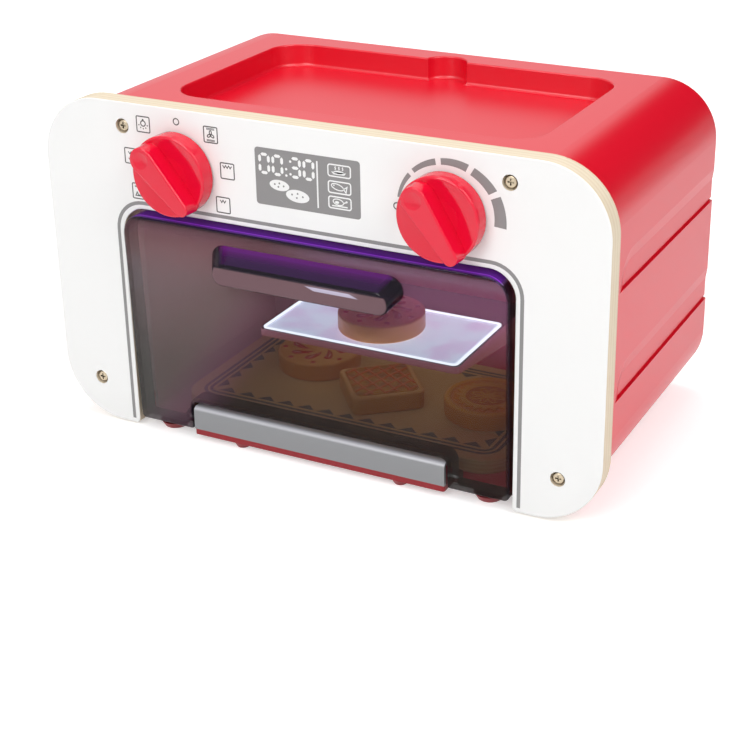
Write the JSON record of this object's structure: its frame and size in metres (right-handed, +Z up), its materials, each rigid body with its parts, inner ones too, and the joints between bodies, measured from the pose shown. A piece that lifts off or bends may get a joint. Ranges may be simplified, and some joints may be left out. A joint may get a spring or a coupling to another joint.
{
  "type": "toy oven",
  "caption": "Table-top toy oven: wooden front, red casing, tip-down smoked door, click dials, lit shelf, baking tray with biscuits and a tray recess on top.",
  "frame": {"origin": "under the middle of the object's box, on the table", "axes": "+X to the right as seen from the front, -Y out of the front, +Z up"},
  "size_m": [0.36, 0.2246, 0.2105],
  "materials": {
    "panel_paint": "white lacquer on birch plywood, cut edges bare",
    "bare_wood": "birch plywood, sealed matt",
    "casing_red": "moulded, satin",
    "dial_red": "moulded, glossy",
    "smoked_plastic": "clear moulding tinted dark, glossy",
    "grey_plastic": "moulded, satin",
    "liner_red": "moulded, satin",
    "shelf_dark": "moulded, dark",
    "light_white": "milky light plate, lit",
    "screw_steel": "zinc plated, slightly yellow",
    "pin_steel": "ground steel pin",
    "board_green": "circuit board",
    "part_black": "moulded black",
    "click_white": "self-coloured acetal",
    "spring_steel": "spring strip",
    "cell_jacket": "plain battery jacket",
    "biscuit_amber": "baked orange, satin"
  },
  "bodies": {
    "oven": {"front_panel": "panel_paint", "panel_screws": "screw_steel", "outer_casing": "casing_red", "base_plate": "casing_red", "base_screws": "screw_steel", "oven_liner": "liner_red", "liner_screws": "screw_steel", "lamp_shelf": "shelf_dark", "shelf_screws": "screw_steel", "light_plate": "light_white", "lamp_board": "board_green", "lamps": "light_white", "battery_box": "part_black", "batteries": "cell_jacket", "battery_contacts": "spring_steel", "battery_hatch": "casing_red", "hatch_screw": "screw_steel", "hinge_bar": "grey_plastic", "hinge_pins": "pin_steel", "click_springs": "spring_steel", "switch_board": "board_green", "lamp_switch": "part_black", "inner_screws": "screw_steel"},
    "door": {"door": "smoked_plastic"},
    "left_dial": {"left_knob": "dial_red", "left_click_wheel": "click_white", "left_wheel_screw": "screw_steel"},
    "right_dial": {"right_knob": "dial_red", "right_click_wheel": "click_white", "right_wheel_screw": "screw_steel"},
    "tray": {"baking_tray": "bare_wood"},
    "berry_biscuit": {"berry_biscuit": "biscuit_amber"},
    "waffle_biscuit": {"waffle_biscuit": "biscuit_amber"},
    "petal_biscuit": {"petal_biscuit": "biscuit_amber"},
    "warming_biscuit": {"warming_biscuit": "biscuit_amber"}
  },
  "joints": [
    {"name": "door_swing", "type": "hinge", "parent": "oven", "child": "door", "pos_m": [0, -0.08625, 0.0125], "axis": [1, 0, 0], "range_deg": [-2, 85]},
    {"name": "left_dial_turn", "type": "hinge", "parent": "oven", "child": "left_dial", "pos_m": [-0.0854, -0.09225, 0.1728], "axis": [0, -1, 0], "range_deg": [-161, 74]},
    {"name": "right_dial_turn", "type": "hinge", "parent": "oven", "child": "right_dial", "pos_m": [0.0854, -0.09225, 0.1728], "axis": [0, -1, 0], "range_deg": [-131, 54]},
    {"name": "tray_slide", "type": "slide", "parent": "oven", "child": "tray", "axis": [0, 1, 0], "range_m": [-0.0065, 0.014]},
    {"name": "berry_biscuit_lift", "type": "slide", "parent": "tray", "child": "berry_biscuit", "axis": [0, 0, 1], "range_m": [0, 0.01]},
    {"name": "waffle_biscuit_lift", "type": "slide", "parent": "tray", "child": "waffle_biscuit", "axis": [0, 0, 1], "range_m": [0, 0.01]},
    {"name": "petal_biscuit_lift", "type": "slide", "parent": "tray", "child": "petal_biscuit", "axis": [0, 0, 1], "range_m": [0, 0.01]},
    {"name": "warming_biscuit_lift", "type": "slide", "parent": "oven", "child": "warming_biscuit", "axis": [0, 0, 1], "range_m": [0, 0.04]}
  ]
}
